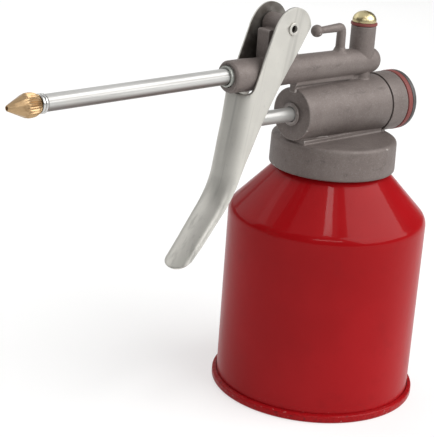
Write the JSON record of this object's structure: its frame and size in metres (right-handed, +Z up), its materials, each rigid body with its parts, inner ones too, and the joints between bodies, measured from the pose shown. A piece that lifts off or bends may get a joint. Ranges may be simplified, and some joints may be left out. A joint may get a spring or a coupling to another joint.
{
  "type": "pump oil can",
  "caption": "Force-feed oil can: red painted steel can, die-cast pump head, rigid spout with brass nozzle, squeeze lever",
  "frame": {"origin": "centre of the bounding box's bottom face, on the surface the can stands on", "axes": "+X from the nozzle tip towards the can, +Y across the lever, +Z up the can's axis"},
  "size_m": [0.1951, 0.0838, 0.1609],
  "materials": {
    "red_paint": "glossy",
    "zinc_casting": "matt as-cast",
    "zinc_plated_steel": "satin",
    "bright_steel": "bright",
    "brass": "turned",
    "yellow_plating": "polished",
    "red_fibre": "matt",
    "black_rubber": "matt",
    "dark_plug": "satin"
  },
  "bodies": {
    "can": {"can_shell": "red_paint", "can_base": "red_paint"},
    "neck_seal": {"neck_gasket": "black_rubber"},
    "head": {"pump_head": "zinc_casting", "end_plug": "dark_plug", "end_plug_gasket": "red_fibre", "rod_seal": "black_rubber", "return_spring": "bright_steel", "suction_fitting": "brass", "suction_tube": "zinc_plated_steel", "suction_strainer": "brass", "ball_retainer": "bright_steel", "outlet_plug": "yellow_plating", "outlet_washer": "red_fibre", "outlet_spring": "bright_steel", "spout_tube": "bright_steel", "spout_ferrule": "bright_steel", "nozzle_collar": "bright_steel", "spout_nozzle": "brass", "pivot_rivet": "zinc_plated_steel"},
    "lever_body": {"lever": "zinc_plated_steel"},
    "piston_body": {"piston_rod": "zinc_plated_steel", "piston": "brass", "piston_cup": "black_rubber", "cup_washer": "bright_steel", "piston_nut": "bright_steel"},
    "inlet_valve": {"inlet_ball": "bright_steel"},
    "outlet_valve": {"outlet_ball": "bright_steel"}
  },
  "joints": [
    {"name": "head_lift", "type": "slide", "parent": "can", "child": "neck_seal", "axis": [0, 0, 1], "range_m": [0, 0.007]},
    {"name": "head_turn", "type": "hinge", "parent": "neck_seal", "child": "head", "pos_m": [0.05565, 0, 0.0943], "axis": [0, 0, 1], "range_deg": [0, 720]},
    {"name": "lever_pivot", "type": "hinge", "parent": "head", "child": "lever_body", "pos_m": [0.02115, 0, 0.153], "axis": [0, -1, 0], "range_deg": [0, 19], "stiffness_Nm_per_rad": 1.5, "springref_deg": -5.73, "deforming": ["return_spring"]},
    {"name": "piston_slide", "type": "slide", "parent": "head", "child": "piston_body", "axis": [1, 0, 0], "range_m": [0, 0.0119]},
    {"name": "inlet_ball_lift", "type": "slide", "parent": "head", "child": "inlet_valve", "axis": [0, 0, 1], "range_m": [0, 0.0013]},
    {"name": "outlet_ball_lift", "type": "slide", "parent": "head", "child": "outlet_valve", "axis": [0, 0, 1], "range_m": [0, 0.0013], "deforming": ["outlet_spring"]}
  ],
  "couplings": [
    {"joint": "piston_slide", "follows": "lever_pivot", "m_per_rad": 0.0358},
    {"joint": "head_lift", "follows": "head_turn", "m_per_rad": 0.000557}
  ]
}
